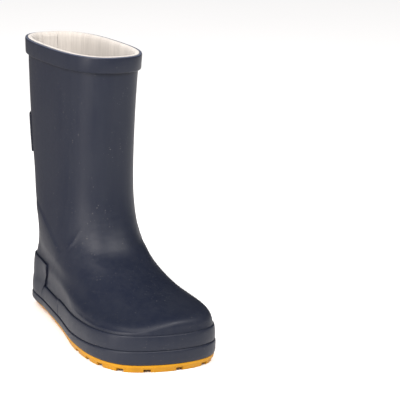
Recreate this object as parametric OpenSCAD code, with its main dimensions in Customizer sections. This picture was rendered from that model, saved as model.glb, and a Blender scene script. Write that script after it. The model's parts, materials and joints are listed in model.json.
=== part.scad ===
// Child's rubber rain boot, right foot.
// Heel at the back (-X), toe at the front (+X), inner side of the foot at +Y, tread on Z = 0.
// The sole is built up from flat layers; the rubber upper and its cloth lining are lofted
// through tilted rings that run from the sole line to the rim of the shaft.

/* [Sole] */
// Length of the sole from heel to toe
sole_l = 205; // [190:1:220]
// Width of the sole, as a factor on the drawn outline
sole_w = 1.0; // [0.9:0.01:1.05]
// Height of the coloured outsole, tread included
outsole_h = 5.8; // [5:0.1:7]
// Depth of the tread grooves
tread_h = 3.0; // [2:0.1:3.5]
// Width of the tread grooves
groove_w = 4.5; // [3:0.5:6]
// Width of the notches round the toe
toe_notch_w = 5.5; // [4:0.5:7]
// Height of the line between the lower and the upper rubber band
band_z = 16.4; // [15.5:0.1:18]
// Height of the top edge of the upper rubber band
foxing_z = 27.5; // [25:0.5:30]
// How much lower the line between the bands lies at the heel
band_fall = 4.4; // [0:0.1:5]
// How much lower the top edge of the upper band lies at the heel
top_fall = 3.5; // [0:0.1:4]
// How much further in the tread lies at the heel
heel_tuck = 3.6; // [0:0.1:5]

/* [Upper] */
// Height of the rim of the shaft
boot_h = 212; // [205:1:220]
// Distance of the upper inside the sole line
upper_in = 2.4; // [2:0.1:3]
// How much lower the outer side of the toe is than its inner side
toe_lean = 4.5; // [0:0.1:5]
// Thickness of the outer rubber of the foot
rubber_t = 2.0; // [1.5:0.1:2.5]
// Thickness of the reinforcements between rubber and lining
stiffener_t = 0.8; // [0.6:0.1:1.2]
// Thickness of the cloth lining
lining_t = 1.4; // [1:0.1:2]
// Height of the collar band around the rim
collar_h = 12; // [10:0.5:14]
// Thickness of the collar band
collar_t = 2.2; // [1:0.1:3]

/* [Heel] */
// Height of the top edge of the raised heel panel, in rings above the sole line
panel_top = 3.5; // [3:0.5:4]
// Thickness of the raised heel panel
panel_t = 1.6; // [1:0.1:2.5]
// Thickness of the raised patch on the back of the shaft
patch_t = 1.3; // [0.8:0.1:2]

/* [Inside] */
// Thickness of the insole board
board_t = 2; // [1.5:0.1:3]
// Thickness of the footbed foam
foam_t = 4.5; // [3:0.5:6]
// Thickness of the cloth on the footbed
cover_t = 1.2; // [0.8:0.1:2]

/* [Hidden] */

navy = [0.12, 0.14, 0.2];
navy_dark = [0.09, 0.1, 0.15];
yellow = [0.96, 0.68, 0.2];
cloth = [0.85, 0.82, 0.76];
board_c = [0.62, 0.5, 0.36];
foam_c = [0.5, 0.52, 0.56];

// Sole outline, from the back of the heel along the outer side to the toe and back
// along the inner side. Heel at x = 0.
sole_pts = [[0, -1], [9, -20.5], [45, -27.5], [88, -36], [130, -45.5], [167, -47], [193, -35],
  [205, -4], [202, 28], [183, 43.5], [142, 43.5], [98, 28], [48, 21], [11, 20]];
// Points of the loft around each ring: three for each outline point
per_pt = 3;
N = per_pt * len(sole_pts);

// Rings of the upper: x and z at the back, x and z at the front, half width
x0 = upper_in;
x1 = sole_l - upper_in;
base_z = band_z; // the lining and the reinforcements start at this height
rings = [
  [x0, outsole_h, x1, outsole_h, 42],
  [x0, base_z, x1, base_z, 42],
  [x0, foxing_z, x1, foxing_z, 42],
  [2.2, 36, sole_l - 5.3, 36.2, 39],
  [2, 48, sole_l - 18.6, 40.9, 32.9],
  [3.5, 63, 163.2, 47.4, 33.5],
  [5.2, 80, 139.8, 56.6, 33.2],
  [4.6, 98, 119.4, 68.9, 31.7],
  [2, 116, 108, 94.8, 29.8],
  [-3, 140, 104.8, 126, 29.2],
  [-7.5, 169, 106, 165, 29.3],
  [-11, boot_h - collar_h, 109.3, boot_h - collar_h, 29.7],
  [-12.3, boot_h, 110.5, boot_h, 30]];
last = len(rings) - 1;
// The foot, ankle and leg parts of the upper meet at these rings
foot_top = 6.5;
leg_low = 8;
// Ring heights at which the outline of the sole turns into the oval of the shaft
blend_a = 2;
blend_b = 6;

// Layers, as distances inside the outer surface of the upper
groove_d = tread_h - 0.4;
d_rubber = rubber_t;
d_stiff = rubber_t + stiffener_t;
d_lining = d_stiff + lining_t;
board_z = base_z - board_t;
foam_z = base_z + foam_t;

// Smooth curve through points p[i] and p[i + 1]
function spline(a, b, c, d, f) =
  0.5 * (2 * b + (c - a) * f + (2 * a - 5 * b + 4 * c - d) * f * f
  + (3 * b - a - 3 * c + d) * f * f * f);
function ring_at(t) =
  let (i = min(floor(t), last - 1), f = t - i,
    a = i == 0 ? 2 * rings[0] - rings[1] : rings[i - 1],
    d = i + 2 > last ? 2 * rings[last] - rings[last - 1] : rings[i + 2])
  // the two lowest steps are straight walls
  i < 2 ? rings[i] + (rings[i + 1] - rings[i]) * f
    : spline(i == 2 ? 2 * rings[2] - rings[3] + [0, 0, 2.5, 0, 0] : a,
        rings[i], rings[i + 1], d, f);
function wrap(i, n) = (i + 4 * n) % n;
function sole_pt(k) =
  let (n = len(sole_pts), i = floor(k / per_pt), f = k / per_pt - i,
    p = spline(sole_pts[wrap(i - 1, n)], sole_pts[wrap(i, n)],
      sole_pts[wrap(i + 1, n)], sole_pts[wrap(i + 2, n)], f))
  [p[0] * sole_l / 205, p[1] * sole_w];
function unit(v) = v / norm(v);
// A closed loop moved inwards by d
function inset(p, d) = let (n = len(p)) [for (k = [0:n - 1])
  let (t = unit(p[wrap(k + 1, n)] - p[wrap(k - 1, n)])) p[k] + d * [-t[1], t[0]]];
sole_line = [for (k = [0:N - 1]) sole_pt(k)];
foot_line = inset(sole_line, upper_in);

function smooth(f) = let (c = min(max(f, 0), 1)) c * c * (3 - 2 * c);
function spow(v, e) = sign(v) * pow(abs(v), e);
// Oval of the shaft at ring height t: along 0..1, across -1..1
function oval(k, t) =
  let (e = 2 / (2 + 0.7 * smooth((t - 5) / 5)), a = 360 * k / N)
  [0.5 - 0.5 * spow(cos(a), e), -spow(sin(a), e)];
// Loop in the tilted plane of ring t, d inside the surface
function flat_loop(t, d) =
  let (r = ring_at(t), l = norm([r[2] - r[0], r[3] - r[1]]),
    m = smooth((t - blend_a) / (blend_b - blend_a)),
    p = [for (k = [0:N - 1]) let (o = oval(k, t), s = foot_line[k])
      [l * ((1 - m) * (s[0] - x0) / (x1 - x0) + m * o[0]),
      (1 - m) * s[1] + m * o[1] * r[4]]])
  d == 0 ? p : inset(p, d);
// How much lower the outer side of the toe lies at a point of ring t
function lean(t, along, across) = toe_lean * smooth((t - 2) / 0.9) * (1 - smooth((t - 3.6) / 3))
  * smooth((along - 0.35) / 0.4) * smooth((6 - across) / 36);
function ring(t, d) =
  let (r = ring_at(t), lo = ring_at(max(t - 0.05, 0)), hi = ring_at(min(t + 0.05, last)),
    tb = unit([hi[0] - lo[0], hi[1] - lo[1]]), ta = unit([hi[2] - lo[2], hi[3] - lo[3]]),
    flat = abs(t - last) < 0.6 ? 0 : 1,
    b = [r[0], r[1]] + d * [1, 0] + flat * d * [tb[1] - 1, -tb[0]],
    a = [r[2], r[3]] - d * [1, 0] + flat * d * [1 - ta[1], ta[0]],
    l = norm([r[2] - r[0], r[3] - r[1]]))
  [for (q = flat_loop(t, d)) let (f = (q[0] - d) / (l - 2 * d))
    [b[0] + (a[0] - b[0]) * f, q[1], b[1] + (a[1] - b[1]) * f - lean(t, q[0] / l, q[1])]];

// Part of a loop from point k1 to k2; a whole loop when k2 - k1 is N
function arc(p, k1, k2) = k2 - k1 >= N ? [for (k = [k1:k2 - 1]) p[wrap(k, N)]]
  : concat(k1 < ceil(k1) ? [at(p, k1)] : [], [for (k = [ceil(k1):floor(k2)]) p[wrap(k, N)]],
    k2 > floor(k2) ? [at(p, k2)] : []);
function steps(t1, t2, s) = [for (i = [0:round((t2 - t1) / s)]) t1 + i * s];
function level(p, z) = [for (q = p) [q[0], q[1], z]];
function xy(p) = [for (q = p) [q[0], q[1]]];
// Point of a loop between two of its points
function at(p, k) = let (i = floor(k), f = k - i) p[wrap(i, N)] * (1 - f) + p[wrap(i + 1, N)] * f;

// How much lower a band line of height z lies at point p of the sole
function lowered(z, p) =
  let (b = band_fall * (1 - smooth((p[0] - 110) / 95)), t = top_fall * (1 - smooth((p[0] - 80) / 125)))
  z <= band_z ? b * (z - outsole_h) / (band_z - outsole_h)
    : b + (t - b) * (z - band_z) / (foxing_z - band_z);
// Loop of a band at height z, d inside the sole line
function band_loop(z, d) = [for (p = inset(sole_line, d)) [p[0], p[1], z - lowered(z, p)]];
// Loop of the outsole, d inside the sole line and further in towards the heel
function tread_loop(d, tuck) = let (a = inset(sole_line, d), b = inset(sole_line, d + tuck))
  [for (k = [0:N - 1]) a[k] + (b[k] - a[k]) * max(0, 1 - sole_line[k][0] / 125)];

// The origin is under the centre of the whole boot
x_min = rings[last][0] - collar_t;
y_lo = min([for (p = sole_line) p[1]]);
y_hi = max([for (p = sole_line) p[1]]);
centre = [-(x_min + sole_l) / 2, -(y_lo + y_hi) / 2, 0];

// Wall between two stacks of loops, whole or part of the way round
module wall(outer, inner, closed = true) {
  m = len(outer);
  n = len(outer[0]);
  span = closed ? n : n - 1;
  o = function(j, i) j * n + (i % n);
  q = function(j, i) (m + j) * n + (i % n);
  faces = concat(
    [for (j = [0:m - 2]) for (i = [0:span - 1]) each [
      [o(j, i), o(j + 1, i), o(j + 1, i + 1)], [o(j, i), o(j + 1, i + 1), o(j, i + 1)],
      [q(j, i), q(j + 1, i + 1), q(j + 1, i)], [q(j, i), q(j, i + 1), q(j + 1, i + 1)]]],
    [for (i = [0:span - 1]) each [
      [o(0, i), o(0, i + 1), q(0, i + 1)], [o(0, i), q(0, i + 1), q(0, i)],
      [o(m - 1, i), q(m - 1, i), q(m - 1, i + 1)],
      [o(m - 1, i), q(m - 1, i + 1), o(m - 1, i + 1)]]],
    closed ? [] : [for (j = [0:m - 2]) each [
      [o(j, 0), q(j, 0), q(j + 1, 0)], [o(j, 0), q(j + 1, 0), o(j + 1, 0)],
      [o(j, n - 1), o(j + 1, n - 1), q(j + 1, n - 1)],
      [o(j, n - 1), q(j + 1, n - 1), q(j, n - 1)]]]);
  translate(centre) polyhedron(points = [for (l = concat(outer, inner)) each l], faces = faces);
}

// Layer of the upper between two depths, from ring t1 to ring t2
module layer(t1, t2, d1, d2, k1 = 0, k2 = N) {
  low = t1 < 2 ? [for (t = [t1:1]) t] : [];
  ts = concat(low, steps(max(t1, 2), t2, 0.5));
  wall([for (t = ts) arc(ring(t, d1), k1, k2)], [for (t = ts) arc(ring(t, d2), k1, k2)],
    k2 - k1 >= N);
}

// Flat layer of the sole inside the given loop
module sole_layer(p, z1, z2) {
  translate([centre[0], centre[1], z1]) linear_extrude(z2 - z1) polygon(xy(p));
}

// Rubber band round the sole, shaped by [height, distance inside the sole line] steps
module sole_band(profile, k1 = 0, k2 = N) {
  wall([for (s = profile) arc(band_loop(s[0], s[1]), k1, k2)],
    [for (s = profile) arc(band_loop(s[0], upper_in), k1, k2)], k2 - k1 >= N);
}

// Notch in the edge of the tread at outline point k
module edge_notch(k, depth) {
  p = sole_pt(k);
  t = unit(sole_pt(k + 0.5) - sole_pt(k - 0.5));
  translate([p[0], p[1], -1]) rotate(atan2(t[1], t[0]))
    translate([-toe_notch_w / 2, -1, 0]) cube([toe_notch_w, depth + 1, groove_d + 1]);
}

module outsole() color(yellow) difference() {
  union() {
    sole_layer(tread_loop(0.9, heel_tuck * 0.6), tread_h, outsole_h);
    sole_layer(tread_loop(2.4, heel_tuck), 0, tread_h + 0.5);
  }
  translate([centre[0], centre[1], 0]) {
    // grooves right across the heel
    for (x = [15, 37, 60, 81])
      translate([x - groove_w / 2, -60, -1]) cube([groove_w, 120, groove_d + 1]);
    translate([24, -2.5, -1]) cube([29, groove_w, groove_d + 1]);
    // blocks under the ball of the foot
    for (x = [104, 122, 140, 158, 176])
      translate([x - groove_w / 2, -30, -1]) cube([groove_w, 56, groove_d + 1]);
    for (y = [-17, 9]) translate([97, y, -1]) cube([89, groove_w, groove_d + 1]);
    // notches round the toe and the ball
    for (k = [12.4, 14, 15.5, 17.5, 19.5, 21.7, 23.8, 25.7, 27.4, 29, 30.5]) edge_notch(k, 9);
  }
}

module lower_foxing() color(navy) sole_band([[outsole_h, 0.8], [8, 0.1], [12, 0],
  [band_z - 1.2, 0.3], [band_z, 1.1]]);

foxing_profile = [[band_z, 1.1], [band_z + 1.2, 0.4], [21.5, 0.5], [foxing_z - 1.4, 1.2],
  [foxing_z, 2]];
// Lap of the two upper bands at the waist
lap_out = 8.6;
lap_in = N - 7;
module upper_foxing_front() color(navy) sole_band(foxing_profile, lap_out, lap_in);
module upper_foxing_rear() color(navy) sole_band(foxing_profile, lap_in - N, lap_out);

// Panel over the rear band and the back of the upper; it reaches further forward at its top
module heel_panel() color(navy_dark) {
  ts = steps(2, panel_top, 0.5);
  low = [[band_z + 1.2, 0.4], [21.5, 0.5], [foxing_z - 1.4, 1.2], [foxing_z, 2]];
  reach = concat([for (s = low) 5.7], [for (t = ts) 5.8 + 1.4 * (t - 2) / (panel_top - 2)]);
  outer = concat([for (s = low) band_loop(s[0], 0.4 - panel_t)],
    [for (t = ts) ring(t, -panel_t - 0.01)]);
  inner = concat([for (s = low) band_loop(s[0], s[1])], [for (t = ts) ring(t, 0)]);
  strip = function(p, r) let (m = min(r - 0.2, 6))
    concat([at(p, -r), at(p, -m)], [for (k = [-5:5]) at(p, k)], [at(p, m), at(p, r)]);
  wall([for (j = [0:len(reach) - 1]) strip(outer[j], reach[j])],
    [for (j = [0:len(reach) - 1]) strip(inner[j], reach[j])], false);
}

module foot_shell() color(navy) layer(0, foot_top, 0, d_rubber);
module ankle_shell() color(navy) layer(foot_top, leg_low, 0, d_stiff);
module leg_shell() color(navy) layer(leg_low, last, 0, d_stiff);

module collar_band() color(navy) {
  zs = [boot_h - collar_h, boot_h - collar_h + 0.8, boot_h - 1, boot_h];
  out = [for (i = [0:3]) collar_t - (i == 0 || i == 3 ? 0.5 : 0)];
  lo = ring(last - 1, 0);
  hi = ring(last, 0);
  mid = [for (z = zs) let (f = (z - zs[0]) / collar_h) lo + (hi - lo) * f];
  wall([for (i = [0:3]) level(inset(xy(mid[i]), -out[i]), zs[i])], mid);
}

// Thin rubber patch round the back of the shaft
patch_k = 2 * per_pt;
module back_patch() color(navy_dark) {
  ts = steps(leg_low + 0.5, leg_low + 1.5, 0.5);
  wall([for (t = ts) arc(ring(t, -patch_t), -patch_k, patch_k)],
    [for (t = ts) arc(ring(t, 0), -patch_k, patch_k)], false);
}

module foot_lining() color(cloth) layer(1, foot_top, d_stiff, d_lining);
module ankle_lining() color(cloth) layer(foot_top, leg_low, d_stiff, d_lining);
module leg_lining() color(cloth) layer(leg_low, last, d_stiff, d_lining);
module lining_tape() color(cloth) layer(leg_low, last, d_lining, d_lining + 0.5, -1, 1);

// Reinforcements between the rubber and the lining of the foot
side_top = 4;
heel_k = 3 * per_pt;
toe_k = 2 * per_pt;
module toe_stiffener() color(board_c)
  layer(1, side_top, d_rubber, d_stiff, N / 2 - toe_k, N / 2 + toe_k);
module heel_counter() color(board_c) layer(1, side_top, d_rubber, d_stiff, -heel_k, heel_k);
module side_stiffener_outer() color(foam_c)
  layer(1, side_top, d_rubber, d_stiff, heel_k, N / 2 - toe_k);
module side_stiffener_inner() color(foam_c)
  layer(1, side_top, d_rubber, d_stiff, N / 2 + toe_k, N - heel_k);
module ankle_stiffener() color(foam_c) layer(side_top, foot_top, d_rubber, d_stiff);

// Board and fillings inside the bands
heel_seat = 78; // the filling is in two pieces that meet here
module insole_board() color(board_c) sole_layer(ring(1, d_rubber), board_z, base_z);
module midsole_filler() color(foam_c) intersection() {
  sole_layer(ring(1, d_rubber), outsole_h, board_z);
  translate([heel_seat + centre[0], -80, 0]) cube([200, 160, 40]);
}
module heel_filler() color(foam_c) intersection() {
  sole_layer(ring(1, d_rubber), outsole_h, board_z);
  translate([heel_seat - 200 + centre[0], -80, 0]) cube([200, 160, 40]);
}
module footbed_foam() color(foam_c) sole_layer(ring(1, d_lining + 0.3), base_z, foam_z);
module footbed_cover() color(cloth)
  sole_layer(ring(1, d_lining + 0.3), foam_z, foam_z + cover_t);

outsole();
lower_foxing();
upper_foxing_front();
upper_foxing_rear();
heel_panel();
foot_shell();
ankle_shell();
leg_shell();
collar_band();
back_patch();
foot_lining();
ankle_lining();
leg_lining();
lining_tape();
toe_stiffener();
heel_counter();
side_stiffener_outer();
side_stiffener_inner();
ankle_stiffener();
insole_board();
midsole_filler();
heel_filler();
footbed_foam();
footbed_cover();
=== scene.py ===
"""A child's rubber rain boot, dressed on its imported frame.

Sizes inside the classes are in millimetres in the boot's pattern frame: the back of the heel
at x = 0, the toe at +x, the inner side of the foot at +y and the tread on z = 0. BootForm
turns them into the row frame in metres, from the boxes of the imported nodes.
"""
import itertools
import json
import logging
import math
from dataclasses import dataclass, field
from enum import Enum
from typing import Sequence

import bmesh
import bpy
from mathutils import Matrix, Vector, noise


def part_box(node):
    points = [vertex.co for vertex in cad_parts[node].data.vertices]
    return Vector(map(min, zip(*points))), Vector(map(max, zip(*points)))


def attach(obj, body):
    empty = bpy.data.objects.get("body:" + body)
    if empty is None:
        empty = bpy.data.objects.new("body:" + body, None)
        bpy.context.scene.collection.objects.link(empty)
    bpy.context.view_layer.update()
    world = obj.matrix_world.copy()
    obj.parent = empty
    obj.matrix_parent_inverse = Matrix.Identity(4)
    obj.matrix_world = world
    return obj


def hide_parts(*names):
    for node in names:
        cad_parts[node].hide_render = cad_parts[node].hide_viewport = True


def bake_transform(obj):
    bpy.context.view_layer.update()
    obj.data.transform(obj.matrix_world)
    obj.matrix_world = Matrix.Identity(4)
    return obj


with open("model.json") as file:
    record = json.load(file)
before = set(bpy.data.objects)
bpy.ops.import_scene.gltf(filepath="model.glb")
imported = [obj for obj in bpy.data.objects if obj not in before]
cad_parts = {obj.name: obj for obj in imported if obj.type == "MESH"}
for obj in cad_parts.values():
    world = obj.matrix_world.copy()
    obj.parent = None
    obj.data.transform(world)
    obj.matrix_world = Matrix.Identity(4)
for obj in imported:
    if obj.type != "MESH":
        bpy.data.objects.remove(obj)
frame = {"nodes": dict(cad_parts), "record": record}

LOG = logging.getLogger("rain_boot")
MM = 0.001
Loop = list[Vector]

# Points round the pieces that are seen closest, and round the others.
FINE = 336
PLAIN = 240
# Steps round the sole's edge, in which places along it are given.
EDGE = 42


class Body(Enum):
    """The two bodies that the ankle joins."""

    FOOT = "foot"
    SHAFT = "shaft"


class Ray(Enum):
    """Kinds of ray, as the places of their outputs on a Light Path node."""

    CAMERA = 0
    GLOSSY = 3


# ---------------------------------------------------------------- shape of the boot


def clamp01(value: float) -> float:
    """Returns value held between 0 and 1."""
    return min(max(value, 0.0), 1.0)


def ease(value: float) -> float:
    """Returns a smooth step from 0 to 1."""
    f = clamp01(value)
    return f * f * (3 - 2 * f)


def spline(a: Sequence[float], b: Sequence[float], c: Sequence[float], d: Sequence[float],
           f: float) -> list[float]:
    """Point of a smooth curve between two of four neighbours.

    Args:
        a: Neighbour before b.
        b: Start of the stretch.
        c: End of the stretch.
        d: Neighbour after c.
        f: Place along the stretch, from 0 to 1.

    Returns:
        The interpolated numbers.
    """
    return [0.5 * (2 * q + (r - p) * f + (2 * p - 5 * q + 4 * r - s) * f * f
                   + (3 * q - p - 3 * r + s) * f ** 3) for p, q, r, s in zip(a, b, c, d)]


def inset(loop: Sequence[Sequence[float]], depth: float) -> list[tuple[float, float]]:
    """Moves a closed flat loop inwards.

    Args:
        loop: Points in the plane, going round with the inside on the left.
        depth: Distance to move each point, in millimetres.

    Returns:
        The moved points.
    """
    n = len(loop)
    moved = []
    for i, (x, y) in enumerate(loop):
        (ax, ay), (bx, by) = loop[i - 1], loop[(i + 1) % n]
        tx, ty = bx - ax, by - ay
        size = math.hypot(tx, ty) or 1.0
        moved.append((x - depth * ty / size, y + depth * tx / size))
    return moved


@dataclass
class BootForm:
    """The last that every piece of the boot is shaped on.

    Attributes:
        outline: Edge of the sole seen from above, from the heel along the outer side.
        upper_in: How far the upper stands inside that edge.
        band_fall: How much lower the line between the bands lies at the heel than at the toe.
        top_fall: The same for the top of the upper band.
        toe_lean: How much lower the outer side of the toe is than its inner side.
        toe_full: How much further forward the toe's curve is aimed where it leaves the bands.
        squareness: How much the shaft's section differs from an ellipse.
        blend_low: Ring where the sole's shape starts to turn into an oval.
        blend_high: Ring where it has become one.
        bend_start: Where the ankle starts to bend, as x and z.
        bend_rise: How far up the leg the bend reaches.
        bend_tilt: How far the bend's direction leans to the toe, in degrees.
        sole_box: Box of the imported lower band.
        foxing_box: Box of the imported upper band.
        collar_box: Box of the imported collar.
    """

    outline: tuple = ((0, -1), (9, -20.5), (45, -27.5), (88, -36), (130, -45.5), (167, -47),
                      (193, -35), (205, -4), (202, 28), (183, 43.5), (142, 43.5), (98, 28),
                      (48, 21), (11, 20))
    upper_in: float = 2.4
    band_fall: float = 4.4
    top_fall: float = 3.5
    toe_lean: float = 4.5
    toe_full: float = 2.5
    squareness: float = 0.7
    blend_low: float = 2.0
    blend_high: float = 6.0
    bend_start: tuple = (66.5, 72.3)
    bend_rise: float = 29.0
    bend_tilt: float = 13.5
    sole_box: tuple = field(default_factory=lambda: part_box("lower_foxing"))
    foxing_box: tuple = field(default_factory=lambda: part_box("upper_foxing_front"))
    collar_box: tuple = field(default_factory=lambda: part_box("collar_band"))

    def __post_init__(self) -> None:
        """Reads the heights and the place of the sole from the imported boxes."""
        self.foot_lines: dict[int, list[tuple[float, float]]] = {}
        low, high = self.sole_box
        self.length = (high.x - low.x) / MM
        self.outsole_z = low.z / MM
        self.groove_z = high.z / MM
        self.foxing_z = self.foxing_box[1].z / MM
        self.collar_z = self.collar_box[0].z / MM
        self.rim_z = self.collar_box[1].z / MM
        self.offset = Vector((low.x / MM, 0.0, 0.0))
        loop = self.sole_loop(FINE)
        self.offset.y = (low.y + high.y) / 2 / MM - (min(p[1] for p in loop)
                                                    + max(p[1] for p in loop)) / 2
        a, b, end = self.upper_in, self.length - self.upper_in, self.length
        # Back x and z, front x and z and half width of each ring up the boot.
        self.rings = [
            [a, self.outsole_z, b, self.outsole_z, 42],
            [a, self.groove_z, b, self.groove_z, 42],
            [a, self.foxing_z, b, self.foxing_z, 42],
            [2.2, 36, end - 5.3, 36.2, 39],
            [2, 48, end - 18.6, 40.9, 32.9],
            [3.5, 63, 163.2, 47.4, 33.5],
            [5.2, 80, 139.8, 56.6, 33.2],
            [4.6, 98, 119.4, 68.9, 31.7],
            [2, 116, 108, 94.8, 29.8],
            [-3, 140, 104.8, 126, 29.2],
            [-7.5, 169, 106, 165, 29.3],
            [-11, self.collar_z, 109.3, self.collar_z, 29.7],
            [-12.3, self.rim_z, 110.5, self.rim_z, 30]]
        self.last = len(self.rings) - 1

    def sole_point(self, k: float) -> tuple[float, float]:
        """Point of the sole's edge, k counted in outline points from the heel.

        Args:
            k: Place round the edge.

        Returns:
            Its x and y.
        """
        n = len(self.outline)
        i = math.floor(k)
        near = [self.outline[(i + j) % n] for j in (-1, 0, 1, 2)]
        x, y = spline(*near, k - i)
        return x * self.length / 205, y

    def sole_loop(self, count: int, depth: float = 0.0) -> list[tuple[float, float]]:
        """The sole's edge as count points, moved in by depth."""
        loop = [self.sole_point(len(self.outline) * i / count) for i in range(count)]
        return inset(loop, depth) if depth else loop

    def station(self, t: float) -> list[float]:
        """Back x and z, front x and z and half width of the ring at height t.

        Args:
            t: Height, in rings above the bottom of the upper.

        Returns:
            The five numbers.
        """
        i = min(int(t), self.last - 1)
        f = t - i
        low, high = self.rings[i], self.rings[i + 1]
        if i < 2:
            return [p + (q - p) * f for p, q in zip(low, high)]
        before = self.rings[i - 1]
        if i == 2:
            before = [2 * p - q for p, q in zip(low, high)]
            before[2] += self.toe_full
        after = (self.rings[i + 2] if i + 2 <= self.last
                 else [2 * q - p for p, q in zip(low, high)])
        return spline(before, low, high, after, f)

    def ring(self, t: float, depth: float, count: int) -> Loop:
        """Loop round the upper.

        Args:
            t: Height, in rings above the bottom of the upper.
            depth: Distance inside the outer surface, in millimetres.
            count: Points round the loop, from the back along the outer side.

        Returns:
            The points, in the pattern frame.
        """
        bx, bz, ax, az, half = self.station(t)
        span = math.hypot(ax - bx, az - bz)
        m = ease((t - self.blend_low) / (self.blend_high - self.blend_low))
        power = 2 / (2 + self.squareness * ease((t - 5) / 5))
        foot = self.foot_line(count)
        run = self.length - 2 * self.upper_in
        flat = []
        for i, (x, y) in enumerate(foot):
            angle = 2 * math.pi * i / count
            c, s = math.cos(angle), math.sin(angle)
            along = 0.5 - 0.5 * math.copysign(abs(c) ** power, c)
            across = -math.copysign(abs(s) ** power, s)
            flat.append((span * ((1 - m) * (x - self.upper_in) / run + m * along),
                         (1 - m) * y + m * across * half))
        if depth:
            flat = inset(flat, depth)
        low, high = self.station(max(t - 0.05, 0)), self.station(min(t + 0.05, self.last))
        back, front = Vector((bx, bz)), Vector((ax, az))
        back.x += depth
        front.x -= depth
        if abs(t - self.last) >= 0.6:  # nearer the rim, the wall is measured level
            tb = Vector((high[0] - low[0], high[1] - low[1])).normalized()
            ta = Vector((high[2] - low[2], high[3] - low[3])).normalized()
            back += depth * Vector((tb.y - 1, -tb.x))
            front += depth * Vector((1 - ta.y, ta.x))
        points = []
        for along, across in flat:
            at = back.lerp(front, (along - depth) / (span - 2 * depth))
            points.append(Vector((at.x, across, at.y - self.lean(t, along / span, across))))
        return points

    def lean(self, t: float, along: float, across: float) -> float:
        """How much the outer side of the toe is lower than its inner side."""
        return (self.toe_lean * ease((t - 2) / 0.9) * (1 - ease((t - 3.6) / 3))
                * ease((along - 0.35) / 0.4) * ease((6 - across) / 36))

    def foot_line(self, count: int) -> list[tuple[float, float]]:
        """The line where the upper meets the sole, kept for each number of points."""
        if count not in self.foot_lines:
            self.foot_lines[count] = self.sole_loop(count, self.upper_in)
        return self.foot_lines[count]

    def edge(self, z: float, depth: float, count: int, tuck: float = 0.0) -> Loop:
        """Level loop under the sole.

        Args:
            z: Height.
            depth: Distance inside the sole's edge.
            count: Points round the loop.
            tuck: How much further in the loop lies at the heel.

        Returns:
            The points, in the pattern frame.
        """
        near, deep = self.sole_loop(count, depth), self.sole_loop(count, depth + tuck)
        loop = []
        for (x, y), (dx, dy) in zip(near, deep):
            share = max(0.0, 1 - x / 125)  # none from the ball of the foot onwards
            loop.append(Vector((x + (dx - x) * share, y + (dy - y) * share, z)))
        return loop

    def lowered(self, z: float, x: float) -> float:
        """How much lower a band line of height z lies at x than at the toe.

        Args:
            z: Height of the line at the toe.
            x: Place along the boot.

        Returns:
            The distance, in millimetres.
        """
        line = self.band_fall * (1 - ease((x - 110) / 95))
        top = self.top_fall * (1 - ease((x - 80) / 125))
        if z <= self.groove_z:
            return line * (z - self.outsole_z) / (self.groove_z - self.outsole_z)
        return line + (top - line) * (z - self.groove_z) / (self.foxing_z - self.groove_z)

    def band(self, z: float, depth: float, count: int) -> Loop:
        """Loop of a rubber band, which lies lower towards the heel."""
        return [Vector((x, y, z - self.lowered(z, x))) for x, y in self.sole_loop(count, depth)]

    def row(self, point: Vector) -> Vector:
        """A pattern point in the row frame, in metres."""
        return (point + self.offset) * MM


@dataclass(frozen=True)
class Fold:
    """A raised line where the edge of an inner reinforcement shows through the rubber.

    Attributes:
        line: Points of the line in side view.
        height: How far it stands out.
        above: Width of its slope on the upper side.
        below: Width of its slope on the lower side.
        fade: Length over which each end fades out.
    """

    line: tuple
    height: float
    above: float
    below: float
    fade: float

    def lift(self, x: float, z: float) -> float:
        """How far the rubber stands out at a point in side view.

        Args:
            x: Place along the boot.
            z: Height.

        Returns:
            The distance, in millimetres.
        """
        best, signed, walked, place = 1e9, 0.0, 0.0, 0.0
        for (ax, az), (bx, bz) in zip(self.line, self.line[1:]):
            ux, uz = bx - ax, bz - az
            run = math.hypot(ux, uz)
            f = clamp01(((x - ax) * ux + (z - az) * uz) / (run * run))
            dx, dz = x - ax - f * ux, z - az - f * uz
            away = math.hypot(dx, dz)
            if away < best:
                best, place = away, walked + f * run
                signed = away if dz * abs(ux) + dx * abs(uz) > 0 else -away
            walked += run
        near = signed / (self.above if signed > 0 else self.below)
        ends = ease(place / self.fade) * ease((walked - place) / self.fade)
        return self.height * ends * math.exp(-near * near) if abs(near) < 3 else 0.0


@dataclass(frozen=True)
class Ripple:
    """Soft unevenness of the rubber.

    Attributes:
        height: How far it stands out.
        lengths: Size of its lumps along x, y and z.
        shift: Where its pattern starts.
    """

    height: float
    lengths: tuple
    shift: tuple = (0, 0, 0)

    def lift(self, p: Vector) -> float:
        """How far the rubber stands out at a point."""
        place = Vector([c / length for c, length in zip(p, self.lengths)])
        return self.height * noise.noise(place + Vector(self.shift))


# ---------------------------------------------------------------- mesh making


def finish_mesh(name: str, bm: bmesh.types.BMesh) -> bpy.types.Object:
    """Turns a bmesh into a smooth object in the scene and frees the bmesh.

    Args:
        name: Name of the object.
        bm: The mesh, in the row frame.

    Returns:
        The object.
    """
    for face in bm.faces:
        face.smooth = True
    mesh = bpy.data.meshes.new(name)
    bm.to_mesh(mesh)
    bm.free()
    obj = bpy.data.objects.new(name, mesh)
    bpy.context.scene.collection.objects.link(obj)
    return obj


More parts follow.
